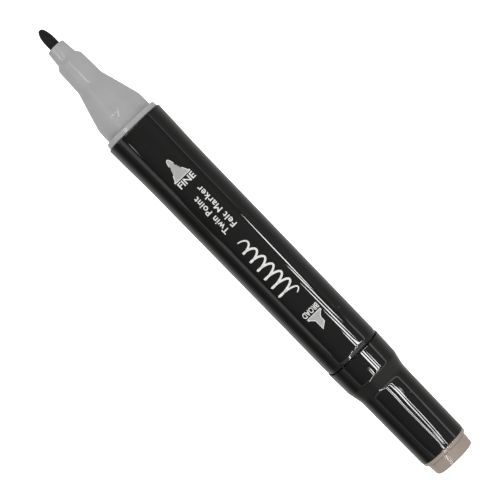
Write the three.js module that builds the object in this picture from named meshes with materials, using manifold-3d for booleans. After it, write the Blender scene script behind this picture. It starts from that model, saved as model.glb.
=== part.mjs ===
// A twin-tip felt marker, lying on its side: a black rounded-square barrel with a grey stepped nozzle and a
// bullet nib on the fine end, and a black cap over the broad end. The cap pulls straight off along +X and
// uncovers the broad nozzle and its chisel nib. An ink-soaked fibre rod in a film wrap fills the barrel and
// feeds both nibs.
//
// Millimetres, +Z up. +X runs along the marker from the fine nib to the cap, the origin is under the middle
// of its length, and Z = 0 is the surface that it lies on. Every station below is a distance along the
// marker from the point of the fine nib, and every half width or radius is measured from its axis.

import * as THREE from "three";
import { mergeVertices } from "three/addons/utils/BufferGeometryUtils.js";
import Module from "manifold-3d";

const wasm = await Module();
wasm.setup();

// ---- Driving dimensions -------------------------------------------------------------------------------

// Stations where the parts begin and end.
const FINE_NOZZLE_FRONT = 5.5;
const BARREL_FINE_END = 32.9;
const BARREL_BROAD_END = 109.9;
const CAP_MOUTH = 110.15;
const CAP_END = 141.95;
const OVERALL_LENGTH = 146.4;

// Half widths across the flats of the rounded-square section.
const BARREL_FLARE = 8.26; // at the fine end, where the barrel is widest
const BARREL_WAIST = 7.92; // where the flare has faded out
const BARREL_HEEL = 7.82; // at the broad end
const CAP_MOUTH_HALF = 7.95;
const CAP_TAIL_HALF = 6.94;
const CAP_END_HALF = 6.77;

// The section's outline is a superellipse: exponent 2 is a circle, and 3.1 is a square with crowned sides
// and corners that are more than half rounded away.
const ROUND = 2;
const ROUNDED_SQUARE = 3.1;

const WALL = 1.15; // of the moulded shells
const PRESS_FIT_GAP = 0.07; // around what is pushed in for good
const SLIDE_GAP = 0.12; // around what the cap slides over
const NIB_GAP = 0.08; // around a nib in its hole
const SEATING_GAP = 0.02; // between faces that rest on each other

const SPIGOT_LENGTH = 9.5; // how far each nozzle reaches into the barrel
const NIB_BITE = 8; // how deep each nib's tail reaches into the fibre rod
const FINE_NIB_RADIUS = 1.48;
const BROAD_NIB_WIDTH = 6.6;
const BROAD_NIB_THICKNESS = 3.0;
const BROAD_NIB_END = 133.8; // the station of the chisel's leading corner

const RESERVOIR_START = 44.0;
const RESERVOIR_END = 99.4;
const RESERVOIR_RADIUS = 6.3; // over its film wrap
const FILM_THICKNESS = 0.25;

// Facets round a full turn. Turning by half a facet puts a flat one in the middle of each side.
const ROUND_FACETS = 32;
const SQUARE_FACETS = 48;

// Worked out from the dimensions above.
const AXIS_HEIGHT = BARREL_FLARE; // the widest ring rests on the surface
const BARREL_BORE_HALF = BARREL_HEEL - WALL; // the bore has the barrel's own outline
const SPIGOT_HALF = BARREL_BORE_HALF - PRESS_FIT_GAP;
const SPIGOT_BORE = SPIGOT_HALF - 1.1;

// ---- Shapes -------------------------------------------------------------------------------------------

// A closed geometry as a solid. Only its positions count.
function solidOf(geometry) {
  const bare = geometry.clone();
  bare.deleteAttribute("normal");
  bare.deleteAttribute("uv");
  const merged = mergeVertices(bare, 1e-4);
  return new wasm.Manifold(
    new wasm.Mesh({
      numProp: 3,
      vertProperties: merged.getAttribute("position").array,
      triVerts: new Uint32Array(merged.index.array),
    }),
  );
}

// A solid as a geometry for a THREE.Mesh.
function geometryOf(solid) {
  const { vertProperties, triVerts } = solid.getMesh();
  const geometry = new THREE.BufferGeometry();
  geometry.setAttribute("position", new THREE.BufferAttribute(vertProperties, 3));
  geometry.setIndex(new THREE.BufferAttribute(triVerts, 1));
  geometry.computeVertexNormals();
  return geometry;
}

// Pushes each ring of a geometry turned about X out from a circle to a superellipse. The middle facet of
// each side lies at the ring's own radius.
function squareOff(geometry, exponent, halfFacet) {
  const position = geometry.getAttribute("position");
  const power = 2 / exponent;
  const middle = Math.cos(halfFacet) ** power;
  const pushed = (part, radius) => (radius * Math.sign(part) * Math.abs(part / radius) ** power) / middle;
  for (let i = 0; i < position.count; i++) {
    const y = position.getY(i);
    const z = position.getZ(i);
    const radius = Math.hypot(y, z);
    if (radius < 1e-6) continue;
    position.setY(i, pushed(y, radius));
    position.setZ(i, pushed(z, radius));
  }
}

// A solid about the marker's axis, from [station, half width] points that run towards +X. Both ends are
// closed on the axis.
function turned(points, exponent = ROUND) {
  const facets = exponent === ROUND ? ROUND_FACETS : SQUARE_FACETS;
  const halfFacet = Math.PI / facets;
  const first = points[0][0];
  const last = points[points.length - 1][0];
  const closed = [[first, 0], ...points, [last, 0]];
  const outline = closed.map(([station, half]) => new THREE.Vector2(half, station));
  const geometry = new THREE.LatheGeometry(outline, facets, halfFacet);
  geometry.rotateZ(-Math.PI / 2);
  if (exponent !== ROUND) squareOff(geometry, exponent, halfFacet);
  return solidOf(geometry);
}

// A flat bar along the marker's axis, between two stations.
function bar(start, end, width, thickness) {
  const geometry = new THREE.BoxGeometry(end - start, width, thickness);
  geometry.translate((start + end) / 2, 0, 0);
  return solidOf(geometry);
}

// A prism over [station, offset] points, centred on the axis: the offsets run along Y and the prism's
// depth along Z, or the other way round when it lies on its side.
function prism(points, depth, onItsSide = false) {
  const outline = new THREE.Shape(points.map(([station, offset]) => new THREE.Vector2(station, offset)));
  const geometry = new THREE.ExtrudeGeometry(outline, { depth, bevelEnabled: false });
  geometry.translate(0, 0, -depth / 2);
  if (onItsSide) geometry.rotateX(Math.PI / 2);
  return solidOf(geometry);
}

// Points along a quarter-round edge. It starts square to the axis at the first station and half width,
// and ends parallel to the axis at the second.
function roundedEdge(start, startHalf, end, endHalf, steps = 3) {
  const points = [];
  for (let i = 0; i <= steps; i++) {
    const turn = (i / steps) * (Math.PI / 2);
    const station = end + (start - end) * Math.cos(turn);
    const half = startHalf + (endHalf - startHalf) * Math.sin(turn);
    points.push([station, half]);
  }
  return points;
}

// Points along a slack S-curve from one half width to another, half way between a line and a full S.
function easedSlope(start, startHalf, end, endHalf, steps) {
  const points = [];
  for (let i = 0; i <= steps; i++) {
    const share = i / steps;
    const eased = (share + share * share * (3 - 2 * share)) / 2;
    points.push([start + (end - start) * share, startHalf + (endHalf - startHalf) * eased]);
  }
  return points;
}

// ---- Barrel -------------------------------------------------------------------------------------------

// A plain tube, flared at its fine end and rounded over at its broad end.
function barrel() {
  const rim = 0.3;
  const shoulder = 0.45;
  const shoulderStart = BARREL_BROAD_END - shoulder;
  const flareStart = BARREL_FINE_END + 0.6;
  const flareEnd = flareStart + 16.5;
  const outside = turned(
    [
      ...roundedEdge(BARREL_FINE_END, BARREL_FLARE - rim, BARREL_FINE_END + rim, BARREL_FLARE, 2),
      ...easedSlope(flareStart, BARREL_FLARE, flareEnd, BARREL_WAIST, 5),
      ...roundedEdge(BARREL_BROAD_END, BARREL_HEEL - shoulder, shoulderStart, BARREL_HEEL).reverse(),
    ],
    ROUNDED_SQUARE,
  );
  const bore = turned(
    [
      [BARREL_FINE_END - 1, BARREL_BORE_HALF],
      [BARREL_BROAD_END + 1, BARREL_BORE_HALF],
    ],
    ROUNDED_SQUARE,
  );
  return outside.subtract(bore);
}

// ---- Fine end -----------------------------------------------------------------------------------------

// The stepped nozzle: two collars, a cone and a plain neck for the fine cap to grip, then a
// rounded-square flange that covers the end of the barrel and a spigot that is pressed into it.
function fineNozzle() {
  const coneStart = 17.7;
  const neckStart = 28.1;
  const neckRadius = 6.84;
  const flangeStart = BARREL_FINE_END - 1.4;
  const flangeEnd = BARREL_FINE_END - SEATING_GAP;
  const spigotEnd = BARREL_FINE_END + SPIGOT_LENGTH;
  const outside = turned([
    ...roundedEdge(FINE_NOZZLE_FRONT, 1.8, FINE_NOZZLE_FRONT + 0.5, 2.48),
    [9.6, 2.83],
    ...easedSlope(9.7, 2.86, 10.75, 3.68, 3),
    [coneStart - 0.3, 3.88],
    [coneStart + 0.3, 4.05],
    [coneStart + 5.3, 5.5],
    [neckStart - 0.6, 6.76],
    [neckStart, neckRadius],
    [flangeEnd, 6.88],
  ]);
  const flange = turned(
    [
      [flangeStart, 7.5],
      [flangeStart + 0.3, 7.74],
      [flangeEnd, 7.86],
    ],
    ROUNDED_SQUARE,
  );
  const spigot = turned(
    [
      [flangeEnd - 0.5, SPIGOT_HALF],
      [spigotEnd - 0.8, SPIGOT_HALF],
      [spigotEnd, SPIGOT_HALF - 0.4],
    ],
    ROUNDED_SQUARE,
  );
  const hollow = turned([
    [coneStart, 2.6],
    [neckStart, neckRadius - WALL],
    [neckStart + 0.5, SPIGOT_BORE],
    [spigotEnd + 1, SPIGOT_BORE],
  ]);
  const nibHole = turned([
    [FINE_NOZZLE_FRONT - 1, FINE_NIB_RADIUS + NIB_GAP],
    [coneStart + 1, FINE_NIB_RADIUS + NIB_GAP],
  ]);
  return outside.add(flange).add(spigot).subtract(hollow).subtract(nibHole);
}

// A felt rod with a bullet point. Its tail reaches into the fibre rod.
function fineNib() {
  const pointLength = 3.7;
  const bluntness = 0.15; // the radius that is left at the very tip
  const steps = 7;
  const tail = RESERVOIR_START + NIB_BITE;
  const point = [];
  for (let i = 0; i <= steps; i++) {
    const share = i / steps;
    const fullness = (1 - (1 - share) ** 2) ** 0.6;
    point.push([pointLength * share, bluntness + (FINE_NIB_RADIUS - bluntness) * fullness]);
  }
  return turned([...point, [tail - 1.5, FINE_NIB_RADIUS], [tail, 0.7]]);
}

// ---- Cap and broad end --------------------------------------------------------------------------------

// The inside of the cap: a rounded-square mouth, then a round tail that holds the liner.
const CAP_SLOPE_START = 116.5;
const CAP_SLOPE_END = 120.9;
const CAP_BORE_HALF = CAP_MOUTH_HALF - WALL - 0.06;
const CAP_TAIL_BORE = CAP_END_HALF - 1.0;

const LINER_MOUTH = 120.2;
const LINER_END = 140.4;
const LINER_RADIUS = CAP_TAIL_BORE - PRESS_FIT_GAP;
const LINER_BORE = LINER_RADIUS - 0.7;
const SEAL_BEAD = 0.1; // how far the liner's sealing bead stands into its bore
const NECK_RADIUS = LINER_BORE - SEAL_BEAD - SLIDE_GAP;
const NECK_END = 123.6;
const HOLDER_FRONT = 128.4;

// The broad nozzle: a spigot pressed into the barrel, a thin flange that covers the barrel's end, a
// rounded-square collar that keys the cap, a round neck that the cap's liner seals on, and a flattened
// holder for the chisel nib.
function broadNozzle() {
  const flangeStart = BARREL_BROAD_END + SEATING_GAP;
  const collarHalf = CAP_BORE_HALF - SLIDE_GAP;
  const collarEnd = 115.4;
  const neckStart = 117.6;
  const neckBore = NECK_RADIUS - WALL;
  const spigotStart = BARREL_BROAD_END - SPIGOT_LENGTH;
  const spigot = turned(
    [
      [spigotStart, SPIGOT_HALF - 0.4],
      [spigotStart + 0.8, SPIGOT_HALF],
      [flangeStart + 0.1, SPIGOT_HALF],
    ],
    ROUNDED_SQUARE,
  );
  const flange = turned(
    [
      [flangeStart, BARREL_HEEL - 0.9],
      [flangeStart + 0.15, BARREL_HEEL - 0.95],
    ],
    ROUNDED_SQUARE,
  );
  const collar = turned(
    [
      [flangeStart, collarHalf],
      [collarEnd, collarHalf],
      [collarEnd + 0.4, collarHalf - 0.4],
    ],
    ROUNDED_SQUARE,
  );
  const neck = turned([
    [collarEnd, 6.1],
    ...easedSlope(collarEnd + 0.4, 5.8, neckStart, NECK_RADIUS, 3),
    [NECK_END, NECK_RADIUS],
    [HOLDER_FRONT - 0.6, 4.1],
    [HOLDER_FRONT, 3.8],
  ]);
  const hollow = turned([
    [spigotStart - 1, SPIGOT_BORE],
    [collarEnd - 1.4, SPIGOT_BORE],
    [neckStart, neckBore],
    [NECK_END, neckBore],
  ]);
  const nibSlot = bar(
    collarEnd,
    HOLDER_FRONT + 1,
    BROAD_NIB_WIDTH + 2 * NIB_GAP,
    BROAD_NIB_THICKNESS + 2 * NIB_GAP,
  );
  const holder = neck.intersect(holderFlats());
  return spigot.add(flange).add(collar).add(holder).subtract(hollow).subtract(nibSlot);
}

// What the flats leave of the neck, seen from the side: all of it up to the neck's end, then a taper to
// the thickness of the nib and its holder's walls.
function holderFlats() {
  const back = NECK_END - 12;
  const front = HOLDER_FRONT + 1;
  const clear = 8; // beyond the neck
  const taperEnd = NECK_END + 2.4;
  const holderHalf = BROAD_NIB_THICKNESS / 2 + 0.9;
  const upper = [
    [front, holderHalf],
    [taperEnd, holderHalf + 0.25],
    [NECK_END, NECK_RADIUS],
    [NECK_END, clear],
    [back, clear],
  ];
  const lower = upper.map(([station, height]) => [station, -height]).reverse();
  return prism([...lower, ...upper], 2 * clear, true);
}

// A flat felt bar, cut on a slant and bevelled on both faces down to its writing edge.
function broadNib() {
  const tail = RESERVOIR_END - NIB_BITE;
  const slant = 2.6; // how far the trailing corner lies behind the leading one
  const bevel = 2.6; // the length of the bevelled faces
  const edgeHalf = 0.75; // half the thickness that is left at the writing edge
  const half = BROAD_NIB_WIDTH / 2;
  const thick = BROAD_NIB_THICKNESS / 2;
  const plan = prism(
    [
      [tail, -half + 1],
      [tail + 1.6, -half],
      [BROAD_NIB_END - slant, -half],
      [BROAD_NIB_END - 0.25, half - 0.6],
      [BROAD_NIB_END, half - 0.35],
      [BROAD_NIB_END - 0.35, half],
      [tail + 1.6, half],
      [tail, half - 1],
    ],
    BROAD_NIB_THICKNESS,
  );
  const bevelled = prism(
    [
      [tail - 1, -thick - 0.1],
      [BROAD_NIB_END - bevel, -thick - 0.1],
      [BROAD_NIB_END + 0.5, -edgeHalf],
      [BROAD_NIB_END + 0.5, edgeHalf],
      [BROAD_NIB_END - bevel, thick + 0.1],
      [tail - 1, thick + 0.1],
    ],
    BROAD_NIB_WIDTH + 2,
    true,
  );
  return plan.intersect(bevelled);
}

// The cap's shell: a wide mouth with a thin lip, a slope down to the narrower tail, and an open end
// that the coloured plug closes.
function capShell() {
  const lip = 0.12;
  const outside = turned(
    [
      ...roundedEdge(CAP_MOUTH, CAP_MOUTH_HALF - lip, CAP_MOUTH + lip, CAP_MOUTH_HALF, 2),
      ...easedSlope(CAP_SLOPE_START, CAP_MOUTH_HALF - 0.17, CAP_SLOPE_END, CAP_TAIL_HALF, 6),
      [CAP_END - 0.2, CAP_END_HALF],
      [CAP_END, CAP_END_HALF - 0.2],
    ],
    ROUNDED_SQUARE,
  );
  const mouth = turned(
    [
      [CAP_MOUTH - 1, CAP_BORE_HALF],
      [CAP_SLOPE_START - 0.5, CAP_BORE_HALF],
      [CAP_SLOPE_START + 1.4, CAP_BORE_HALF - 1.2],
    ],
    ROUNDED_SQUARE,
  );
  const tail = turned([
    [CAP_SLOPE_START, CAP_TAIL_BORE],
    [CAP_END + 1, CAP_TAIL_BORE],
  ]);
  return outside.subtract(mouth).subtract(tail);
}

// The soft inner cup, with a bead inside its mouth that seals on the broad nozzle's neck.
function capLiner() {
  const bead = LINER_BORE - SEAL_BEAD;
  const cup = turned([
    [LINER_MOUTH, LINER_RADIUS - 0.25],
    [LINER_MOUTH + 0.25, LINER_RADIUS],
    [LINER_END - 0.6, LINER_RADIUS],
    [LINER_END, LINER_RADIUS - 0.6],
  ]);
  const hollow = turned([
    [LINER_MOUTH - 1, LINER_BORE + 0.2],
    [LINER_MOUTH, LINER_BORE + 0.2],
    [LINER_MOUTH + 0.5, LINER_BORE],
    [LINER_MOUTH + 1.0, LINER_BORE],
    [LINER_MOUTH + 1.3, bead],
    [LINER_MOUTH + 1.7, bead],
    [LINER_MOUTH + 2.0, LINER_BORE],
    [LINER_END - 1.3, LINER_BORE],
    [LINER_END - 0.7, LINER_BORE - 0.6],
  ]);
  return cup.subtract(hollow);
}

// The coloured end plug: a flange that covers the end of the shell, a narrower head outside it and a
// hollow spigot inside it.
function capPlug() {
  const flangeStart = CAP_END + SEATING_GAP;
  const flangeHalf = CAP_END_HALF - 0.05;
  const headStart = flangeStart + 1.15;
  const headHalf = 5.9;
  const endHalf = 5.64;
  const rim = 0.2;
  const spigotHalf = CAP_TAIL_BORE - PRESS_FIT_GAP;
  const head = turned(
    [
      [flangeStart, flangeHalf - 0.06],
      [flangeStart + 0.2, flangeHalf],
      [flangeStart + 0.8, flangeHalf - 0.03],
      [flangeStart + 0.95, flangeHalf - 0.15],
      [headStart, headHalf],
      ...roundedEdge(OVERALL_LENGTH, endHalf - rim, OVERALL_LENGTH - rim, endHalf).reverse(),
    ],
    ROUNDED_SQUARE,
  );
  const spigot = turned([
    [LINER_END + 0.1, spigotHalf - 0.3],
    [LINER_END + 0.4, spigotHalf],
    [flangeStart + 0.2, spigotHalf],
  ]);
  const hollow = turned([
    [LINER_END, 4.5],
    [OVERALL_LENGTH - 1.4, 4.2],
  ]);
  return head.add(spigot).subtract(hollow);
}

// ---- Ink reservoir ------------------------------------------------------------------------------------

// The fibre rod, with a pocket at each end for a nib's tail.
function reservoirCore() {
  const edge = 0.2;
  const radius = RESERVOIR_RADIUS - FILM_THICKNESS - 0.05;
  const rod = turned([
    [RESERVOIR_START, radius - edge],
    [RESERVOIR_START + edge, radius],
    [RESERVOIR_END - edge, radius],
    [RESERVOIR_END, radius - edge],
  ]);
  const finePocket = turned([
    [RESERVOIR_START - 1, FINE_NIB_RADIUS + NIB_GAP],
    [RESERVOIR_START + NIB_BITE + edge, FINE_NIB_RADIUS + NIB_GAP],
  ]);
  const broadPocket = bar(
    RESERVOIR_END - NIB_BITE - edge,
    RESERVOIR_END + 1,
    BROAD_NIB_WIDTH + 2 * NIB_GAP,
    BROAD_NIB_THICKNESS + 2 * NIB_GAP,
  );
  return rod.subtract(finePocket).subtract(broadPocket);
}

// The clear film sleeve around the rod, open at both ends.
function reservoirWrap() {
  const sleeve = turned([
    [RESERVOIR_START, RESERVOIR_RADIUS],
    [RESERVOIR_END, RESERVOIR_RADIUS],
  ]);
  const inside = turned([
    [RESERVOIR_START - 1, RESERVOIR_RADIUS - FILM_THICKNESS],
    [RESERVOIR_END + 1, RESERVOIR_RADIUS - FILM_THICKNESS],
  ]);
  return sleeve.subtract(inside);
}

// ---- Assembly -----------------------------------------------------------------------------------------

const material = (color, roughness) => new THREE.MeshStandardMaterial({ color, roughness, metalness: 0 });
const blackGloss = material(0x181918, 0.18);
const greyPlastic = material(0xa7a9a8, 0.4);
const taupePlastic = material(0x9d9087, 0.35);
const linerPlastic = material(0xdcdcd6, 0.45);
const inkedFelt = material(0x201f21, 0.95);
const fibre = material(0x8d8178, 1.0);
const film = material(0xd8d8d8, 0.12);

const marker = new THREE.Group();

function addPiece(name, solid, pieceMaterial) {
  const mesh = new THREE.Mesh(geometryOf(solid), pieceMaterial);
  mesh.name = name;
  marker.add(mesh);
}

addPiece("barrel", barrel(), blackGloss);
addPiece("fine_nozzle", fineNozzle(), greyPlastic);
addPiece("fine_nib", fineNib(), inkedFelt);
addPiece("broad_nozzle", broadNozzle(), greyPlastic);
addPiece("broad_nib", broadNib(), inkedFelt);
addPiece("reservoir_core", reservoirCore(), fibre);
addPiece("reservoir_wrap", reservoirWrap(), film);
addPiece("broad_cap_shell", capShell(), blackGloss);
addPiece("broad_cap_liner", capLiner(), linerPlastic);
addPiece("broad_cap_plug", capPlug(), taupePlastic);

marker.position.set(-OVERALL_LENGTH / 2, 0, AXIS_HEIGHT);

export default marker;
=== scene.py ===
"""The look of the twin-tip felt marker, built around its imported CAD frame.

Every shell is lofted again at a fine step from the CAD nodes' own boxes, and the print is laid on the
barrel as thin ink. Lengths in the shape functions are millimetres: a station is a distance along the
marker from the point of the fine nib, and a half width is measured from its axis.
"""

import math

import bmesh
import bpy
from mathutils import Matrix, Vector


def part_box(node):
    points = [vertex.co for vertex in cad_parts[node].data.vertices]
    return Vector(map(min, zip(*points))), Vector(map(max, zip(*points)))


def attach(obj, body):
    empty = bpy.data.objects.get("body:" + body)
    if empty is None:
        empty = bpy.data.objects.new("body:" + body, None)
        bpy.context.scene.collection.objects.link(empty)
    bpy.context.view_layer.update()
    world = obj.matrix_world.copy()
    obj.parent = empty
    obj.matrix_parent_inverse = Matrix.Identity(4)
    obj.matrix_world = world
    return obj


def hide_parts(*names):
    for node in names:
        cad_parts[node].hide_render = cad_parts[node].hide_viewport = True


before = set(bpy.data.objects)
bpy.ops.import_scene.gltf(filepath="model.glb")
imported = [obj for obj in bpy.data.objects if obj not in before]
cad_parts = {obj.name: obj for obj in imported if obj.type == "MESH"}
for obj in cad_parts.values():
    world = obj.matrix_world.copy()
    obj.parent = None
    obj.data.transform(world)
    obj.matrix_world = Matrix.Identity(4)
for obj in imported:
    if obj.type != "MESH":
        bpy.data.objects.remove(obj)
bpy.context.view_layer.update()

# ---- Measures taken from the CAD frame ----------------------------------------------------------------

MM = 0.001
TIP_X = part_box("fine_nib")[0].x
BARREL_LOW, BARREL_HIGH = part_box("barrel")
AXIS_Z = (BARREL_LOW.z + BARREL_HIGH.z) / 2


def ends(node):
    """(first station, last station) of a CAD node."""
    low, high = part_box(node)
    return (low.x - TIP_X) / MM, (high.x - TIP_X) / MM


def half_width(node):
    """The widest half width of a CAD node."""
    low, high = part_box(node)
    return (high.y - low.y) / 2 / MM


BARREL_START, BARREL_END = ends("barrel")
FLARE = half_width("barrel")
NOZZLE_START, FINE_SPIGOT_END = ends("fine_nozzle")
BROAD_SPIGOT_START, HOLDER_END = ends("broad_nozzle")
CAP_START, CAP_END = ends("broad_cap_shell")
CAP_MOUTH = half_width("broad_cap_shell")
LINER_START, LINER_END = ends("broad_cap_liner")
LINER_RADIUS = half_width("broad_cap_liner")
PLUG_START, PLUG_END = ends("broad_cap_plug")
FINE_NIB_RADIUS = half_width("fine_nib")
FINE_NIB_TAIL = ends("fine_nib")[1]
BROAD_NIB_TAIL, BROAD_NIB_END = ends("broad_nib")
BROAD_NIB_HALF = half_width("broad_nib")
BROAD_NIB_THICK = (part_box("broad_nib")[1].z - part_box("broad_nib")[0].z) / 2 / MM

WAIST, HEEL = 7.92, 7.82  # barrel half widths where the flare has faded out, and at the broad end
FLARE_END = BARREL_START + 17.0
WALL = 1.15
BORE = HEEL - WALL
SPIGOT = BORE - 0.07
SPIGOT_BORE = SPIGOT - 1.1
CAP_TAIL, CAP_TIP = 6.94, 6.77  # cap half widths after its slope, and at its end
CAP_BORE = CAP_MOUTH - WALL - 0.06

ROUND, SQUARE, BOX = 2.0, 3.1, 12.0  # superellipse exponents of the sections
AROUND = 144

# ---- Shapes -------------------------------------------------------------------------------------------


def softened(points, exponent=ROUND, steps=5):
    """Rings [station, half width, exponent] along a polyline of (station, half width, reach), each corner
    rounded over its reach and each long run cut up, closely at its ends to keep it straight."""
    path = []
    for i, point in enumerate(points):
        here = Vector(point[:2])
        reach = point[2] if len(point) > 2 else 0
        if reach and 0 < i < len(points) - 1:
            before = here + (Vector(points[i - 1][:2]) - here).normalized() * reach
            after = here + (Vector(points[i + 1][:2]) - here).normalized() * reach
            for k in range(steps + 1):
                t = k / steps
                path.append(before * (1 - t) ** 2 + here * (2 * t * (1 - t)) + after * t**2)
        else:
            path.append(here)
    rings = [path[0]]
    for here in path[1:]:
        last, long = rings[-1], (here - rings[-1]).length
        if long > 0.5:
            edge = 0.1 / long
            pieces = max(1, round(long / 4))
            rings.append(last.lerp(here, edge))
            rings += [last.lerp(here, edge + (1 - 2 * edge) * (k + 1) / pieces) for k in range(pieces)]
        rings.append(here)
    return [(r.x, r.y, exponent) for r in rings]


def outline(half, exponent, flat=None):
    """Points (y, z) round one ring. half is a number or a pair, and flat cuts it off above and below."""
    wide, high = half if isinstance(half, tuple) else (half, half)
    points = []
    for i in range(AROUND):
        turn = 2 * math.pi * (i + 0.5) / AROUND
        c, s = math.cos(turn), math.sin(turn)
        r = (abs(c) ** exponent + abs(s) ** exponent) ** (-1 / exponent)
        z = high * r * s
        if flat is not None:
            z = max(-flat, min(flat, z))
        points.append((wide * r * c, z))
    return points


def finish_mesh(bm, name, body, material, sharp_angle=35):
    """Turns a bmesh into a piece that rides on a CAD body, smooth but for its sharp edges."""
    bmesh.ops.recalc_face_normals(bm, faces=bm.faces)
    for edge in bm.edges:
        edge.smooth = len(edge.link_faces) == 2 and edge.calc_face_angle(0) < math.radians(sharp_angle)
    for face in bm.faces:
        face.smooth = True
    mesh = bpy.data.meshes.new(name)
    bm.to_mesh(mesh)
    bm.free()
    mesh.materials.append(material)
    piece = bpy.data.objects.new(name, mesh)
    bpy.context.scene.collection.objects.link(piece)
    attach(piece, body)
    return piece


def lofted(name, body, rings, material, closed=True, move=None):
    """A piece through rings (station, half, exponent, flat). A ring of half 0 is a point on the axis.
    A closed loft joins its last ring to its first, as a tube does. move(station, y, z) shifts stations."""
    bm = bmesh.new()
    loops = []
    for station, half, exponent, *flat in rings:
        if half == 0:
            loops.append([bm.verts.new((TIP_X + station * MM, 0, AXIS_Z))])
            continue
        loop = []
        for y, z in outline(half, exponent, *flat):
            x = station + (move(station, y, z) if move else 0)
            loop.append(bm.verts.new((TIP_X + x * MM, y * MM, AXIS_Z + z * MM)))
        loops.append(loop)
    pairs = list(zip(loops, loops[1:]))
    if closed:
        pairs.append((loops[-1], loops[0]))
    for one, two in pairs:
        for i in range(AROUND):
            j = (i + 1) % AROUND
            if len(one) == 1:
                bm.faces.new((one[0], two[j], two[i]))
            elif len(two) == 1:
                bm.faces.new((one[i], one[j], two[0]))
            else:
                bm.faces.new((one[i], one[j], two[j], two[i]))
    return finish_mesh(bm, name, body, material)


# ---- Materials ----------------------------------------------------------------------------------------


class Nodes:
    """A node material under construction."""

    def __init__(self, name, tree=None):
        if tree:
            self.tree = tree
            self.direction = self.add("ShaderNodeTexCoord").outputs["Generated"]
            return
        self.material = bpy.data.materials.new(name)
        self.material.use_nodes = True
        self.tree = self.material.node_tree
        self.shader = self.tree.nodes["Principled BSDF"]
        self.place = self.add("ShaderNodeTexCoord").outputs["Object"]

    def add(self, kind, inputs=None, **settings):
        """A node with those settings, its inputs set to numbers or linked to sockets."""
        node = self.tree.nodes.new(kind)
        for key, value in settings.items():
            setattr(node, key, value)
        for key, value in (inputs or {}).items():
            if isinstance(value, bpy.types.NodeSocket):
                self.tree.links.new(value, node.inputs[key])
            else:
                node.inputs[key].default_value = value
        return node

    def set(self, **values):
        """Shader inputs by name, with _ for spaces: numbers and colours are set, sockets are linked."""
        for key, value in values.items():
            socket = self.shader.inputs[key.replace("_", " ")]
            if isinstance(value, bpy.types.NodeSocket):
                self.tree.links.new(value, socket)
            else:
                socket.default_value = value

    def calculate(self, operation, *values):
        """The result of a Math node on up to three numbers or sockets."""
        return self.add("ShaderNodeMath", dict(enumerate(values)), operation=operation).outputs[0]

    def noise(self, per_mm, stretch=(1, 1, 1), detail=3, roughness=0.5):
        """Noise of so many cells a millimetre, more along an axis that has a larger stretch."""
        scale = tuple(s * per_mm / MM for s in stretch)
        place = self.add("ShaderNodeMapping", {"Vector": self.place, "Scale": scale}).outputs[0]
        inputs = {"Vector": place, "Scale": 1.0, "Detail": detail, "Roughness": roughness}
        return self.add("ShaderNodeTexNoise", inputs).outputs["Fac"]

    def between(self, fac, low, high, start=0.3, end=0.7):
        """A number that goes from low to high as fac goes from start to end."""
        inputs = {"Value": fac, "From Min": start, "From Max": end, "To Min": low, "To Max": high}
        return self.add("ShaderNodeMapRange", inputs).outputs["Result"]

    def mix(self, fac, one, two):
        """A colour between two, by fac."""
        node = self.add("ShaderNodeMix", {0: fac}, data_type="RGBA")
        for socket, colour in ((node.inputs[6], one), (node.inputs[7], two)):
            if isinstance(colour, bpy.types.NodeSocket):
                self.tree.links.new(colour, socket)
            else:
                socket.default_value = (*colour, 1)
        return node.outputs[2]

    def bump(self, height, millimetres, under=None):
        """A bump of that height where the input goes from 0 to 1."""
        inputs = {"Height": height, "Distance": millimetres * MM, "Strength": 1.0}
        if under:
            inputs["Normal"] = under
        return self.add("ShaderNodeBump", inputs).outputs["Normal"]

    def drawn(self, pitch, slope):
        """The normal tilted sideways by fine rounded ridges along the marker, so many mm apart. slope is
        the least slope at a ridge's edge, and the steepest ridges have 2.8 times as much."""
        stray = self.noise(0.18, (0.12, 1, 1), detail=1)
        depth = self.noise(0.4, (0.12, 1, 1), detail=1)
        _x, y, z = self.add("ShaderNodeSeparateXYZ", {"Vector": self.place}).outputs
        shift = self.between(stray, -1.5, 1.5)
        steep = self.between(depth, slope, 2.8 * slope)
        tilts = []
        for across in (y, z):
            ridges = self.calculate("MULTIPLY_ADD", across, 1 / (pitch * MM), shift)
            from_crest = self.calculate("SUBTRACT", self.calculate("FRACT", ridges), 0.5)
            tilts.append(self.calculate("MULTIPLY", from_crest, steep))
        tilt = self.add("ShaderNodeCombineXYZ", {"Y": tilts[0], "Z": tilts[1]}).outputs[0]
        facing = self.add("ShaderNodeNewGeometry").outputs["Normal"]
        normal = self.add("ShaderNodeVectorMath", {0: facing, 1: tilt}, operation="ADD").outputs[0]
        return self.add("ShaderNodeVectorMath", {0: normal}, operation="NORMALIZE").outputs[0]

    def specks(self, per_mm, size, share):
        """1 on small round specks, which a share of the cells have, and 0 elsewhere."""
        scaled = {0: self.place, 3: per_mm / MM}
        place = self.add("ShaderNodeVectorMath", scaled, operation="SCALE").outputs[0]
        cells = self.add("ShaderNodeTexVoronoi", {"Vector": place, "Scale": 1.0})
        near = self.between(cells.outputs["Distance"], 1, 0, size * 0.6, size)
        red = self.add("ShaderNodeSeparateColor", {"Color": cells.outputs["Color"]}).outputs[0]
        return self.calculate("MULTIPLY", near, self.calculate("LESS_THAN", red, share))


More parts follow.
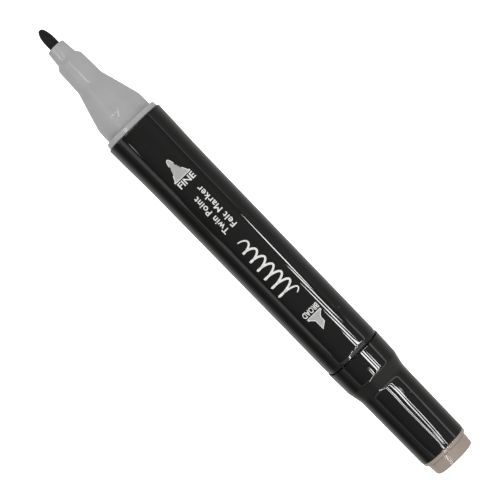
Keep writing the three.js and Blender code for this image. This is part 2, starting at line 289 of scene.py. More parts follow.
def black_plastic():
    """Polished black polystyrene: near mirror, faintly wavy from the mould, with hairlines and dust."""
    n = Nodes("black_gloss")
    dust = n.specks(0.55, 0.09, 0.03)
    tone = n.mix(n.between(n.noise(0.12), 0, 1), (0.0030, 0.0034, 0.0030), (0.0052, 0.0056, 0.0050))
    hairlines = n.noise(3.0, (0.03, 1, 1), detail=2)
    n.set(
        Base_Color=n.mix(dust, tone, (0.16, 0.16, 0.15)),
        Roughness=n.between(hairlines, 0.01, 0.03),
        Normal=n.bump(dust, 0.02, n.drawn(0.59, 0.003)),
        IOR=1.50,
    )
    return n.material


def grey_plastic():
    """Satin light grey polypropylene, finely grained, with a near-black band of painted shade where it shows
    in the gap between the barrel and the cap."""
    n = Nodes("grey_plastic")
    tone = n.mix(n.between(n.noise(0.25), 0, 1), (0.366, 0.370, 0.366), (0.392, 0.396, 0.391))
    dust = n.specks(0.5, 0.07, 0.12)
    grain = n.noise(9.0, detail=4)
    x = n.add("ShaderNodeSeparateXYZ", {"Vector": n.place}).outputs[0]
    # Painted shade: a near-black band, 0.24 mm wide, darkens the grey where it shows in the gap at the
    # barrel's end.
    joint = TIP_X + (BARREL_END + 0.1) * MM
    painted_gap_shade = n.calculate("COMPARE", x, joint, 0.12 * MM)
    n.set(
        Base_Color=n.mix(painted_gap_shade, n.mix(dust, tone, (0.22, 0.21, 0.20)), (0.004, 0.004, 0.004)),
        Roughness=n.between(n.noise(0.8), 0.36, 0.46),
        Normal=n.bump(grain, 0.006),
        Specular_IOR_Level=0.12,
        Coat_Weight=0.4,
        Coat_Roughness=0.05,
        IOR=1.40,
    )
    return n.material


def taupe_plastic():
    """Semi-gloss warm grey moulding, a little blotchy."""
    n = Nodes("taupe_plastic")
    tone = n.mix(n.between(n.noise(0.35), 0, 1), (0.322, 0.264, 0.226), (0.352, 0.294, 0.255))
    n.set(
        Base_Color=tone,
        Roughness=n.between(n.noise(1.2), 0.08, 0.16),
        Normal=n.bump(n.noise(0.5), 0.006, n.bump(n.noise(7.0, detail=4), 0.002)),
        IOR=1.42,
    )
    return n.material


def liner_plastic():
    """Soft natural polyethylene: milky and waxy."""
    n = Nodes("liner_plastic")
    n.set(
        Base_Color=n.mix(n.between(n.noise(0.4), 0, 1), (0.70, 0.70, 0.65), (0.77, 0.77, 0.73)),
        Roughness=n.between(n.noise(1.5), 0.38, 0.52),
        Normal=n.bump(n.noise(2.5, (0.4, 1, 1)), 0.006),
        Subsurface_Weight=0.25,
        Subsurface_Radius=(0.0015, 0.0013, 0.0010),
        IOR=1.51,
    )
    return n.material


def inked_felt():
    """Pressed polyester felt soaked in near-black ink, its fibres along the marker."""
    n = Nodes("inked_felt")
    fibres = n.noise(6.0, (0.12, 1, 1), detail=5, roughness=0.65)
    fuzz = n.noise(14.0, detail=4)
    n.set(
        Base_Color=n.mix(n.between(fibres, 0, 1), (0.004, 0.004, 0.004), (0.014, 0.014, 0.015)),
        Roughness=n.between(fuzz, 0.62, 0.95),
        Normal=n.bump(fibres, 0.05, n.bump(fuzz, 0.02)),
        Specular_IOR_Level=0.25,
        Sheen_Weight=0.04,
        Sheen_Roughness=0.5,
        IOR=1.40,
    )
    return n.material


def fibre_bundle():
    """The reservoir's bundled fibres, mottled with ink."""
    n = Nodes("fibre")
    strands = n.noise(4.0, (0.04, 1, 1), detail=5, roughness=0.7)
    ink = n.noise(0.12, (0.5, 1, 1))
    pale = n.mix(n.between(strands, 0, 1), (0.20, 0.16, 0.14), (0.34, 0.29, 0.25))
    n.set(
        Base_Color=n.mix(n.between(ink, 0, 1, 0.42, 0.6), pale, (0.10, 0.08, 0.07)),
        Roughness=0.9,
        Normal=n.bump(strands, 0.08),
        Sheen_Weight=0.1,
    )
    return n.material


def clear_film():
    """Thin wrinkled polypropylene film."""
    n = Nodes("film")
    n.set(
        Base_Color=n.mix(n.between(n.noise(0.3), 0, 1), (0.80, 0.81, 0.81), (0.90, 0.90, 0.90)),
        Roughness=n.between(n.noise(1.0), 0.06, 0.18),
        Normal=n.bump(n.noise(0.6, (0.25, 1, 1)), 0.03),
        Transmission_Weight=0.85,
        IOR=1.49,
    )
    return n.material


def white_ink():
    """Screen-printed white, slightly patchy where the black shows through."""
    n = Nodes("white_print")
    n.set(
        Base_Color=n.mix(n.between(n.noise(3.0, detail=4), 0, 1), (0.66, 0.66, 0.64), (0.86, 0.86, 0.85)),
        Roughness=n.between(n.noise(5.0), 0.35, 0.55),
        Normal=n.bump(n.noise(8.0), 0.004),
        IOR=1.48,
    )
    return n.material


def silver_ink():
    """Screen-printed silver-grey with metal flake."""
    n = Nodes("silver_print")
    flake = n.noise(5.0, detail=5, roughness=0.7)
    n.set(
        Base_Color=n.mix(n.between(flake, 0, 1, 0.35, 0.65), (0.27, 0.27, 0.26), (0.47, 0.47, 0.45)),
        Roughness=n.between(flake, 0.40, 0.60),
        Normal=n.bump(flake, 0.006),
        Metallic=0.15,
        IOR=1.48,
    )
    return n.material


BLACK, GREY, TAUPE = black_plastic(), grey_plastic(), taupe_plastic()
LINER, FELT, FIBRE, FILM = liner_plastic(), inked_felt(), fibre_bundle(), clear_film()
WHITE, SILVER = white_ink(), silver_ink()

# ---- Barrel and fine end ------------------------------------------------------------------------------


def barrel():
    """A thin tube that swells at the fine end and has a gently sloping lip at the broad end."""
    lip, lip_drop = 1.2, 0.16
    outside = softened(
        [
            (BARREL_START, FLARE - 0.6),
            (BARREL_START, FLARE, 0.3),
            (BARREL_START + 4, FLARE - 0.06, 3),
            (FLARE_END - 3, WAIST + 0.01, 5),
            (BARREL_END - 14, HEEL + 0.024, 2),
            (BARREL_END - lip, HEEL, 0.3),
            (BARREL_END, HEEL - lip_drop, 0.25),
            (BARREL_END, HEEL - 1),
        ],
        SQUARE,
    )
    inside = softened([(BARREL_END, BORE), (BARREL_START, BORE)], SQUARE)
    piece = lofted("marker_barrel", "marker_body", outside + inside, BLACK)
    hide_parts("barrel")


def fine_nozzle():
    """Two collars, a cone and a skirt, all round, then a square flange and the spigot in the barrel."""
    nose_end, collar_start, collar_end, cone_bend, skirt_start = 9.4, 10.6, 17.6, 23.0, 27.7
    flange, back = BARREL_START - 1.4, BARREL_START - 0.02
    hole = FINE_NIB_RADIUS + 0.08
    stepped = softened(
        [
            (NOZZLE_START, hole),
            (NOZZLE_START, 2.46, 0.22),
            (nose_end, 2.81, 0.15),
            (collar_start, 3.67, 0.15),
            (collar_end, 3.91, 0.4),
            (cone_bend, 5.5, 2),
            (skirt_start, 6.83, 1.0),
            (flange, 6.88),
        ]
    )
    rim = softened([(flange, 7.3), (flange, 7.7, 0.2), (back, 7.86, 0.06), (back, SPIGOT)], SQUARE)
    end = FINE_SPIGOT_END
    spigot = softened(
        [(back, SPIGOT), (end - 0.8, SPIGOT, 0.2), (end, SPIGOT - 0.4), (end, SPIGOT_BORE + 0.3)], SQUARE
    )
    cone_top, cone_foot = collar_end + 0.1, skirt_start + 0.4
    inside = softened(
        [
            (end, SPIGOT_BORE),
            (cone_foot + 0.5, SPIGOT_BORE),
            (cone_foot, 5.64),
            (cone_top, 2.6),
            (cone_top, hole),
        ]
    )
    rings = stepped + rim + spigot[1:] + inside
    piece = lofted("fine_tip_nozzle", "marker_body", rings, GREY)
    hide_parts("fine_nozzle")


def fine_nib():
    """A felt rod with a bullet point."""
    point, blunt, steps = 3.7, 0.32, 22  # the point's length, and how wide its very tip is
    rings = [(0, 0, ROUND)]
    for i in range(steps + 1):
        share = (i / steps) ** 1.6
        full = (1 - (1 - share) ** 2) ** 0.6
        rings.append((point * share, blunt + (FINE_NIB_RADIUS - blunt) * full, ROUND))
    radius, tail = FINE_NIB_RADIUS, FINE_NIB_TAIL
    rings += softened([(point + 0.5, radius), (tail - 1.5, radius), (tail, 0.7)])
    rings.append((tail, 0, ROUND))
    piece = lofted("fine_bullet_nib", "marker_body", rings, FELT, closed=False)
    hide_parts("fine_nib")


# ---- Broad end ----------------------------------------------------------------------------------------

LINER_BORE = LINER_RADIUS - 0.7
SEAL = LINER_BORE - 0.1
NECK = SEAL - 0.12
NECK_START, NECK_END = 117.6, 123.6


def broad_nozzle():
    """Spigot, square collar under the cap's mouth, round neck for the cap's seal, and the nib's holder,
    whose two flats close in on the nib."""
    seat = BARREL_END + 0.02
    collar, collar_end = CAP_BORE - 0.12, 115.4
    slot_wide, slot_high = BROAD_NIB_HALF + 0.08, BROAD_NIB_THICK + 0.08
    outside = softened(
        [
            (BROAD_SPIGOT_START, SPIGOT_BORE + 0.3),
            (BROAD_SPIGOT_START, SPIGOT - 0.4),
            (BROAD_SPIGOT_START + 0.8, SPIGOT, 0.2),
            (seat, SPIGOT),
            (seat, HEEL - 0.9, 0.05),
            (seat + 0.15, HEEL - 0.95, 0.05),
            (seat + 0.15, collar),
            (collar_end, collar, 0.35),
            (collar_end + 0.4, collar - 0.4),
        ],
        SQUARE,
    )
    neck = softened([(collar_end + 0.42, 5.8), (NECK_START - 0.6, NECK, 0.8), (NECK_END, NECK)])
    flat = BROAD_NIB_THICK + 1.15
    holder = [
        (NECK_END + 0.02, NECK, ROUND, NECK),
        (NECK_END + 1.2, NECK - 0.12, ROUND, (NECK + flat) / 2),
        (NECK_END + 2.3, NECK - 0.25, ROUND, flat + 0.08),
        (NECK_END + 2.6, NECK - 0.29, ROUND, flat),
        (HOLDER_END - 0.5, 4.1, ROUND, flat - 0.22),
        (HOLDER_END - 0.15, 3.98, ROUND, flat - 0.32),
        (HOLDER_END, 3.8, ROUND, flat - 0.45),
    ]
    slot = [
        (HOLDER_END, (slot_wide, slot_high), BOX),
        (NECK_END, (slot_wide, slot_high), BOX),
    ]
    inside = [
        (NECK_END - 0.02, NECK - WALL, ROUND),
        (NECK_START, NECK - WALL, ROUND),
        (collar_end - 1.4, SPIGOT_BORE, ROUND),
        (BROAD_SPIGOT_START, SPIGOT_BORE, ROUND),
    ]
    piece = lofted("broad_tip_nozzle", "marker_body", outside + neck + holder + slot + inside, GREY)
    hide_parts("broad_nozzle")


def broad_nib():
    """A flat felt rod, bevelled on both faces to a chisel edge that slants across it."""
    slant, bevel, edge = 2.6, 2.6, 0.75
    wide, thick, tail, end = BROAD_NIB_HALF, BROAD_NIB_THICK, BROAD_NIB_TAIL, BROAD_NIB_END
    rings = [(tail, 0, BOX), (tail, (wide - 0.9, thick - 0.3), BOX), (tail + 1.4, (wide, thick), BOX)]
    for i in range(1, 9):
        rings.append((tail + 1.4 + (end - bevel - tail - 1.4) * i / 8, (wide, thick), BOX))
    for share in (0.15, 0.4, 0.7, 0.9, 0.97):
        rings.append((end - bevel * (1 - share), (wide - 0.04 * share, thick + (edge - thick) * share), BOX))
    rings.append((end - 0.02, (wide - 0.3, edge - 0.2), BOX))
    rings.append((end - 0.02, 0, BOX))

    def cut(station, y, _z):
        ramp = max(0.0, min(1.0, (station - (end - 9)) / (9 - bevel)))
        return -slant * ramp * (wide - y) / (2 * wide)

    piece = lofted("broad_chisel_nib", "marker_body", rings, FELT, closed=False, move=cut)
    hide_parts("broad_nib")


# ---- Cap ----------------------------------------------------------------------------------------------


def cap_shell():
    """A wide mouth, a slope and a narrower tail: square outside and in the mouth, with a round bore."""
    slope_start, slope_end = 116.75, 120.4
    mouth_floor = 118.4
    outside = softened(
        [
            (CAP_START, CAP_BORE + 0.05),
            (CAP_START, CAP_MOUTH, 0.07),
            (slope_start, CAP_MOUTH - 0.17, 0.5),
            (slope_end, CAP_TAIL + 0.02, 0.8),
            (slope_end + 2.1, CAP_TAIL - 0.03, 1.2),
            (CAP_END, CAP_TIP, 0.1),
            (CAP_END, CAP_TIP - 0.5),
        ],
        SQUARE,
    )
    bore = half_width("broad_cap_plug") - 0.82
    tail = softened([(CAP_END, bore), (mouth_floor, bore)])
    mouth = softened(
        [(mouth_floor, CAP_BORE - 1.2), (slope_start - 0.25, CAP_BORE, 0.4), (CAP_START, CAP_BORE)], SQUARE
    )
    piece = lofted("broad_cap", "broad_cap", outside + tail + mouth, BLACK)
    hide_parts("broad_cap_shell")


def cap_liner():
    """A round cup with a sealing ring just inside its rim."""
    start, end, radius = LINER_START, LINER_END, LINER_RADIUS
    points = [
        (end, radius - 1),
        (end, radius, 0.5),
        (start, radius, 0.22),
        (start, LINER_BORE + 0.2, 0.1),
        (start + 0.5, LINER_BORE, 0.13),
        (start + 1.05, LINER_BORE, 0.13),
        (start + 1.3, SEAL, 0.12),
        (start + 1.7, SEAL, 0.12),
        (start + 1.95, LINER_BORE, 0.13),
        (end - 1.2, LINER_BORE, 0.4),
        (end - 0.8, LINER_BORE - 0.7),
    ]
    rings = [(end, 0, ROUND), *softened(points, steps=3), (end - 0.8, 0, ROUND)]
    piece = lofted("broad_cap_inner_cup", "broad_cap", rings, LINER, closed=False)
    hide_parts("broad_cap_liner")


def cap_plug():
    """A round hollow spigot, a square flange, and a narrower square head that stands out of it."""
    flange, half = CAP_END + 0.02, half_width("broad_cap_plug")
    spigot, floor_of_hollow = half - 0.89, PLUG_END - 1.4
    inner = softened(
        [
            (floor_of_hollow, 3.9),
            (floor_of_hollow, 4.2, 0.2),
            (PLUG_START, 4.5),
            (PLUG_START, spigot - 0.3),
            (PLUG_START + 0.3, spigot),
            (flange, spigot),
        ]
    )
    head = softened(
        [
            (flange, half - 0.3),
            (flange, half - 0.01, 0.08),
            (flange + 0.95, half - 0.03, 0.16),
            (flange + 1.12, 5.96, 0.04),
            (flange + 1.3, 6.06, 0.08),
            (PLUG_END, 5.84, 0.14),
            (PLUG_END, 4.0),
        ],
        SQUARE,
    )
    rings = [(floor_of_hollow, 0, ROUND), *inner, *head, (PLUG_END, 0, SQUARE)]
    piece = lofted("broad_cap_end_plug", "broad_cap", rings, TAUPE, closed=False)
    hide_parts("broad_cap_plug")


barrel()
fine_nozzle()
fine_nib()
broad_nozzle()
broad_nib()
cap_shell()
cap_liner()
cap_plug()
for node, material, slot in (("reservoir_core", FIBRE, "fibre"), ("reservoir_wrap", FILM, "film")):
    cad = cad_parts[node]
    cad.data.materials.clear()
    cad.data.materials.append(material)

# ---- Print --------------------------------------------------------------------------------------------

INK = 0.02  # the ink's thickness
TO_TIP, TO_CAP, TO_LEFT, TO_RIGHT = (-1, 0), (1, 0), (0, 1), (0, -1)  # directions on the barrel's top


def barrel_top(station, y):
    """Height of the barrel's top face over the axis, where the print is."""
    profile = [
        (BARREL_START + 4, FLARE - 0.06),
        (FLARE_END - 3, WAIST + 0.01),
        (BARREL_END - 14, HEEL + 0.024),
        (BARREL_END, HEEL),
    ]
    k = sum(station > p[0] for p in profile[1:-1])
    (one, low), (two, high) = profile[k : k + 2]
    half = low + (high - low) * (station - one) / (two - one)
    return half * (1 - abs(y / half) ** SQUARE) ** (1 / SQUARE)


def printed(name, flat, material, base=0.0):
    """Lays a flat mesh, drawn as (station, y), on the barrel's top as a thin layer of ink, base over it."""
    bm = bmesh.new()
    bm.from_mesh(flat)
    bmesh.ops.remove_doubles(bm, verts=bm.verts, dist=1e-4)
    low = [min(v.co[k] for v in bm.verts) for k in (0, 1)]
    high = [max(v.co[k] for v in bm.verts) for k in (0, 1)]
    for axis, step in ((0, 1.6), (1, 0.4)):  # cuts along and across, so that it bends with the barrel
        normal = Vector((1, 0, 0)) if axis == 0 else Vector((0, 1, 0))
        for k in range(1, int((high[axis] - low[axis]) / step) + 1):
            parts = [*bm.verts, *bm.edges, *bm.faces]
            point = normal * (low[axis] + k * step)
            bmesh.ops.bisect_plane(bm, geom=parts, dist=1e-4, plane_co=point, plane_no=normal)
    bmesh.ops.triangulate(bm, faces=bm.faces)
    grown = bmesh.ops.extrude_face_region(bm, geom=bm.faces[:], use_keep_orig=True)
    raised = {v for v in grown["geom"] if isinstance(v, bmesh.types.BMVert)}
    for v in bm.verts:
        height = barrel_top(v.co.x, v.co.y) + base + (INK if v in raised else 0.001)
        v.co = (TIP_X + v.co.x * MM, v.co.y * MM, AXIS_Z + height * MM)
    return finish_mesh(bm, name, "marker_body", material, 60)


def curve_mesh(data):
    """A 2-D curve's filled mesh."""
    holder = bpy.data.objects.new("drawing", data)
    bpy.context.scene.collection.objects.link(holder)
    bpy.context.view_layer.update()
    mesh = bpy.data.meshes.new_from_object(holder.evaluated_get(bpy.context.evaluated_depsgraph_get()))
    bpy.data.objects.remove(holder)
    return mesh


def filled(outlines, grow=0.0):
    """A flat mesh inside outlines of (x, y) points, grown or shrunk all round."""
    data = bpy.data.curves.new("drawing", "CURVE")
    data.dimensions = "2D"
    data.fill_mode = "BOTH"
    data.offset = grow
    for points in outlines:
        spline = data.splines.new("POLY")
        spline.points.add(len(points) - 1)
        spline.use_cyclic_u = True
        for target, point in zip(spline.points, points):
            target.co = (*point, 0, 1)
    return curve_mesh(data)


def thicken(mesh, by):
    """Pushes the outline of a flat mesh outwards, which keeps every face the right way up."""
    bm = bmesh.new()
    bm.from_mesh(mesh)
    bmesh.ops.remove_doubles(bm, verts=bm.verts, dist=1e-5)
    pushes = {v: [] for v in bm.verts}
    for edge in bm.edges:
        if edge.is_boundary:
            a, b = edge.verts
            along = (b.co - a.co).normalized()
            out = Vector((along.y, -along.x, 0))
            if out.dot(edge.link_faces[0].calc_center_median() - a.co) > 0:
                out.negate()
            pushes[a].append(out)
            pushes[b].append(out)
    for v, outs in pushes.items():
        if len(outs) == 2:
            v.co += (outs[0] + outs[1]) * by / max(0.6, 1 + outs[0].dot(outs[1]))
    bm.to_mesh(mesh)
    bm.free()


def lettering(words, centre, across, reading, up, tall, spacing=1.0):
    """A flat mesh of words round a centre, as long as across and as tall as tall, which read and stand
    in the directions reading and up."""
    data = bpy.data.curves.new("drawing", "FONT")
    data.body = words
    data.align_x, data.align_y = "CENTER", "CENTER"
    data.space_character = spacing
    data.resolution_u = 5
    mesh = curve_mesh(data)
    thicken(mesh, 0.016)
    xs = [v.co.x for v in mesh.vertices]
    ys = [v.co.y for v in mesh.vertices]
    wide, high = max(xs) - min(xs), max(ys) - min(ys)
    middle = Vector(((max(xs) + min(xs)) / 2, (max(ys) + min(ys)) / 2))
    for v in mesh.vertices:
        along = (v.co.x - middle.x) / wide * across
        above = (v.co.y - middle.y) / high * tall
        v.co = Vector((*centre, 0)) + Vector((*reading, 0)) * along + Vector((*up, 0)) * above
    return mesh


def pictogram(halves, start, middle, direction):
    """An outline, mirrored about its middle, from (distance, half) steps out from a start station."""
    one = [(start + direction * d, middle + h) for d, h in halves]
    other = [(start + direction * d, middle - h) for d, h in reversed(halves)]
    return one + other


def fine_sign():
    """A bullet nib on its holder, pointing to the fine end."""
    sign = [(0, 2.5), (0.45, 2.5), (0.5, 2.2), (0.95, 2.0), (2.2, 1.42), (3.35, 1.05), (3.5, 1.05)]
    sign += [(3.56, 0.84), (4.4, 0.72), (5.0, 0.56), (5.4, 0.38), (5.62, 0.14)]
    base_station, middle, to_tip = 49.85, -0.1, -1
    outline_points = pictogram(sign, base_station, middle, to_tip)
    printed("fine_sign_edge", filled([outline_points]), WHITE)
    printed("fine_sign_fill", filled([outline_points], -0.2), SILVER, INK + 0.001)


def broad_sign():
    """A chisel nib on its holder, pointing to the broad end."""
    start, middle = 95.5, -0.47
    holder = [(0, 2.2), (0.55, 2.2), (0.62, 1.9), (1.0, 1.45), (1.35, 1.08), (1.8, 0.86)]
    one = [(start + d, middle + h) for d, h in holder]
    other = [(start + d, middle - h) for d, h in reversed(holder)]
    chisel = [(start + 3.1, middle + 0.82), (start + 4.35, middle - 0.86)]
    outline_points = [*one, *chisel, *other]
    printed("broad_sign_edge", filled([outline_points]), WHITE)
    printed("broad_sign_fill", filled([outline_points], -0.2), SILVER, INK + 0.001)


def scribble():
    """A plain wavy flourish, with no letters in it, that narrows towards the fine end."""
    start, end, middle, waves, half_stroke = 88.5, 70.9, -1.1, 6.5, 0.265
    line = []
    steps = 150
    for i in range(steps + 1):
        u = i / steps
        phase = 2 * math.pi * waves * u + 0.6
        swing = (2.6 - 1.3 * u) * math.sin(phase)
        lean = 0.55 * math.cos(phase)
        line.append(Vector((start + (end - start) * u + lean, middle + swing)))
    left, right = [], []
    for i, here in enumerate(line):
        along = (line[min(i + 1, steps)] - line[max(i - 1, 0)]).normalized()
        narrowing = min(1, 0.5 + 6 * min(i, steps - i) / steps)
        side = Vector((-along.y, along.x)) * half_stroke * narrowing
        left.append(here + side)
        right.append(here - side)
    bm = bmesh.new()
    pairs = [(bm.verts.new((*a, 0)), bm.verts.new((*b, 0))) for a, b in zip(left, right)]
    for (a, b), (c, d) in zip(pairs, pairs[1:]):
        bm.faces.new((a, b, d, c))
    mesh = bpy.data.meshes.new("drawing")
    bm.to_mesh(mesh)
    bm.free()
    printed("barrel_flourish", mesh, WHITE)


fine_sign()
fine_words = lettering("FINE", (50.98, 0.03), 4.9, TO_LEFT, TO_TIP, 1.66)
left_words = lettering("Felt Marker", (60.4, 0.85), 12.8, TO_TIP, TO_RIGHT, 1.64, 1.1)
right_words = lettering("Twin Point", (61.2, -1.62), 11.3, TO_TIP, TO_RIGHT, 1.64, 1.1)
broad_words = lettering("BROAD", (94.42, -0.5), 4.75, TO_RIGHT, TO_CAP, 1.5)
printed("fine_label", fine_words, WHITE)
printed("barrel_words_left", left_words, WHITE)
printed("barrel_words_right", right_words, WHITE)
scribble()
printed("broad_label", broad_words, WHITE)
broad_sign()

# ---- Floor, light and camera --------------------------------------------------------------------------

scene = bpy.context.scene
scene.view_settings.view_transform = "Standard"


def flat_patch(name, corners, material):
    """A four-cornered sheet for the set."""
    bm = bmesh.new()
    bm.faces.new([bm.verts.new(c) for c in corners])
    mesh = bpy.data.meshes.new(name)
    bm.to_mesh(mesh)
    bm.free()
    mesh.materials.append(material)
    patch = bpy.data.objects.new(name, mesh)
    scene.collection.objects.link(patch)
    return patch


def floor():
    """A white sheet that glows evenly, as paper does in a light tent. Only the camera sees it."""
    n = Nodes("white_sheet")
    n.set(
        Base_Color=n.mix(n.between(n.noise(0.05), 0, 1), (0.86, 0.86, 0.86), (0.90, 0.90, 0.90)),
        Roughness=0.9,
        Emission_Color=(1, 1, 1, 1),
        Emission_Strength=1.2,
        Specular_IOR_Level=0.1,
    )
    reach, under = 2.5, -0.0002
    corners = [(-reach, -reach, under), (reach, -reach, under), (reach, reach, under), (-reach, reach, under)]
    sheet = flat_patch("floor_sheet", corners, n.material)
    sheet.visible_diffuse = False
    sheet.visible_glossy = False


LAMP_HEIGHT = 0.40
TUBE_RADIANCE = 26.0


def lamp(name, points, radiance):
    """A glowing level strip over the marker, through (x, y, width) points in metres. Only gloss shows it."""
    n = Nodes(name)
    n.tree.nodes.remove(n.shader)
    glow = n.add("ShaderNodeEmission", {"Strength": radiance})
    n.tree.links.new(glow.outputs[0], n.tree.nodes["Material Output"].inputs["Surface"])
    edges = []
    for k, (x, y, width) in enumerate(points):
        before, after = points[max(k - 1, 0)], points[min(k + 1, len(points) - 1)]
        along = Vector((after[0] - before[0], after[1] - before[1], 0)).normalized()
        side = along.cross(Vector((0, 0, 1))) * width / 2
        here = Vector((x, y, LAMP_HEIGHT))
        edges.append((here - side, here + side))
    for k, ((a, b), (c, d)) in enumerate(zip(edges, edges[1:])):
        strip = flat_patch(f"{name}_{k}", [a, b, d, c], n.material)
        strip.visible_camera = False
        strip.visible_diffuse = False
        strip.visible_shadow = False


def lamp_frame():
    """The tent's dim glowing frame, which draws the soft lines along the plastic's edges. Its places are
    worked back from those lines in the photo."""
    near, far, end, back = -0.335, 0.305, 0.210, -0.60
    far_side = [(back, far, 0.03), (0.00, far, 0.03), (0.01, far, 0.006), (0.085, far, 0.006)]
    far_side += [(0.09, far, 0.04)]
    far_corner = [(0.10, far, 0.08), (0.13, far, 0.08), (0.18, 0.27, 0.06), (end, 0.20, 0.04)]
    near_side = [(back, near, 0.19), (-0.02, near, 0.19), (-0.008, near, 0.05), (0.008, near, 0.05)]
    near_side += [(0.02, near, 0.17), (0.105, near, 0.17)]
    near_corner = [(0.105, near, 0.10), (0.14, near, 0.10), (end, -0.28, 0.05)]
    lamp("frame_far", far_side, 1.6)
    lamp("frame_far_end", far_corner, 2.0)
    lamp("frame_near", near_side, 1.2)
    lamp("frame_near_end", near_corner, 0.7)
    lamp("frame_end", [(end, 0.20, 0.05), (end, 0.0, 0.05)], 1.6)
    lamp("frame_end_near", [(end, 0.0, 0.05), (end, -0.28, 0.05)], 0.8)


def lamp_tubes():
    """Slanting tubes, tapered at their ends, whose images are the streaks on the black plastic: five over the
    barrel, then those over the cap, and four at the fine end. Their places are worked back from where the
    photo shows those streaks, so they fit this view and no real lamps."""
    over_barrel = [
        [
            (0.012, 0.217, 0.004),
            (0.024, 0.211, 0.020),
            (0.040, 0.200, 0.027),
            (0.056, 0.190, 0.022),
            (0.066, 0.183, 0.003),
        ],
        [
            (0.046, 0.135, 0.004),
            (0.056, 0.142, 0.018),
            (0.075, 0.153, 0.019),
            (0.088, 0.160, 0.003),
        ],
        [
            (0.056, 0.088, 0.003),
            (0.066, 0.093, 0.014),
            (0.085, 0.101, 0.015),
            (0.098, 0.107, 0.003),
        ],
        [
            (0.074, 0.057, 0.003),
            (0.082, 0.062, 0.011),
            (0.100, 0.074, 0.011),
            (0.110, 0.120, 0.014),
            (0.122, 0.180, 0.008),
        ],
        [
            (0.088, 0.043, 0.003),
            (0.093, 0.044, 0.009),
            (0.101, 0.045, 0.009),
        ],
    ]
    over_cap = [
        [
            (0.124, 0.082, 0.002),
            (0.130, 0.083, 0.012),
            (0.136, 0.084, 0.008),
            (0.138, 0.082, 0.002),
        ],
        [
            (0.116, 0.056, 0.010),
            (0.133, 0.056, 0.011),
            (0.139, 0.049, 0.007),
            (0.150, 0.049, 0.007),
            (0.172, 0.028, 0.002),
        ],
        [
            (0.116, 0.033, 0.009),
            (0.133, 0.033, 0.008),
            (0.143, 0.027, 0.005),
            (0.155, 0.025, 0.005),
            (0.170, 0.017, 0.002),
        ],
        [
            (0.130, 0.015, 0.003),
            (0.141, 0.0125, 0.0018),
            (0.168, 0.0115, 0.0018),
            (0.185, 0.002, 0.006),
            (0.210, -0.014, 0.012),
        ],
        [
            (0.210, -0.014, 0.012),
            (0.250, -0.045, 0.014),
        ],
    ]
    for k, tube in enumerate(over_barrel + over_cap):
        lamp(f"tube_{k}", tube, TUBE_RADIANCE)
    far_tube = [(-0.31, 0.06, 0.01), (-0.18, -0.018, 0.03), (-0.10, -0.089, 0.04), (-0.085, -0.102, 0.01)]
    side_tube = [(-0.21, -0.04, 0.004), (-0.22, -0.12, 0.014), (-0.26, -0.60, 0.02), (-0.125, -0.66, 0.02)]
    lamp("far_tube", far_tube, 12.0)
    lamp("side_tube", side_tube, 14.0)
    lamp("side_tube_end", [(-0.090, -0.657, 0.014), (-0.069, -0.207, 0.008)], 14.0)
    lamp("far_tube_end", [(-0.044, -0.166, 0.003), (-0.038, -0.170, 0.012), (-0.027, -0.177, 0.003)], 7.0)


def key_light():
    """A big soft box straight above, for the even light on the matt parts."""
    data = bpy.data.lights.new("soft_box", "AREA")
    data.shape = "RECTANGLE"
    data.size, data.size_y = 1.2, 1.2
    data.energy = 2.0
    box = bpy.data.objects.new("soft_box", data)
    box.location = (0.0, 0.1, 1.1)
    box.visible_glossy = False
    box.visible_camera = False
    scene.collection.objects.link(box)


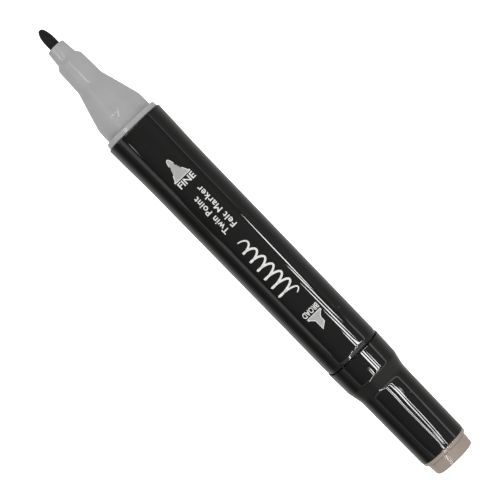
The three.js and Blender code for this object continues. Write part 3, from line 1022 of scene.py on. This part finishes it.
def surroundings():
    """A light tent round the marker: white below and at the sides, dimmer overhead and on the -Y side."""
    world = bpy.data.worlds.new("tent")
    world.use_nodes = True
    scene.world = world
    n = Nodes("tent", world.node_tree)
    x, y, z = n.add("ShaderNodeSeparateXYZ", {"Vector": n.direction}).outputs
    round_x = n.calculate("ARCTAN2", y, z)
    ramp = n.add("ShaderNodeValToRGB", {0: n.between(round_x, 0, 1, -math.pi, math.pi)})
    # Degrees from overhead, + towards +Y, and how bright it is there. The levels are read off a scratch
    # program that worked back from what the black plastic mirrors in the photo, and then rounded.
    near_wall = {-180: 0.16, -170: 0.26, -158: 0.52, -140: 0.74, -115: 0.54, -100: 0.24, -80: 0.12}
    overhead = {-65: 0.18, -52: 0.38, -40: 0.28, -28: 0.15, -12: 0.26, 0: 0.32, 16: 0.41, 29: 0.30, 46: 0.47}
    far_wall = {66: 0.40, 90: 0.57, 120: 0.68, 152: 0.56, 170: 0.28, 180: 0.16}
    walls = near_wall | overhead | far_wall
    stops = ramp.color_ramp.elements
    stops.remove(stops[1])
    for k, (turn, level) in enumerate(walls.items()):
        place = turn / 360 + 0.5
        stop = stops[0] if k == 0 else stops.new(place)
        stop.position = place
        stop.color = (level * 0.99, level, level * 0.97, 1)
    end_wall = n.mix(n.between(y, 0, 1, -0.15, 0.05), (0.36, 0.37, 0.35), (0.70, 0.71, 0.67))
    mirrored = n.mix(n.between(x, 0, 1, 0.28, 0.56), ramp.outputs[0], end_wall)
    rays = n.add("ShaderNodeLightPath")
    lit = n.mix(rays.outputs["Is Diffuse Ray"], mirrored, (0.9, 0.9, 0.9))
    seen = n.mix(rays.outputs["Is Camera Ray"], lit, (1.0, 1.0, 1.0))
    n.tree.links.new(seen, n.tree.nodes["Background"].inputs["Color"])


def camera():
    """Nearly straight above the barrel, with the marker running down to the right. Its lens, place and
    direction come from a fit to the photo's silhouette."""
    data = bpy.data.cameras.new("camera")
    data.sensor_width = 36
    data.lens = 105.47
    data.clip_start, data.clip_end = 0.01, 20
    eye = bpy.data.objects.new("camera", data)
    place = Vector((TIP_X + 52.34 * MM, -12.56 * MM, AXIS_Z + 360 * MM))
    forward = Vector((0.06038, 0.03352, -0.99761)).normalized()
    roll = math.radians(45.75)  # between the picture's horizontal and the marker's axis
    right = Vector((math.cos(roll), math.sin(roll), 0))
    right = (right - forward * right.dot(forward)).normalized()
    up = right.cross(forward)
    turn = Matrix((right, up, -forward)).transposed()
    eye.matrix_world = Matrix.Translation(place) @ turn.to_4x4()
    scene.collection.objects.link(eye)
    scene.camera = eye


floor()
surroundings()
lamp_frame()
lamp_tubes()
key_light()
camera()
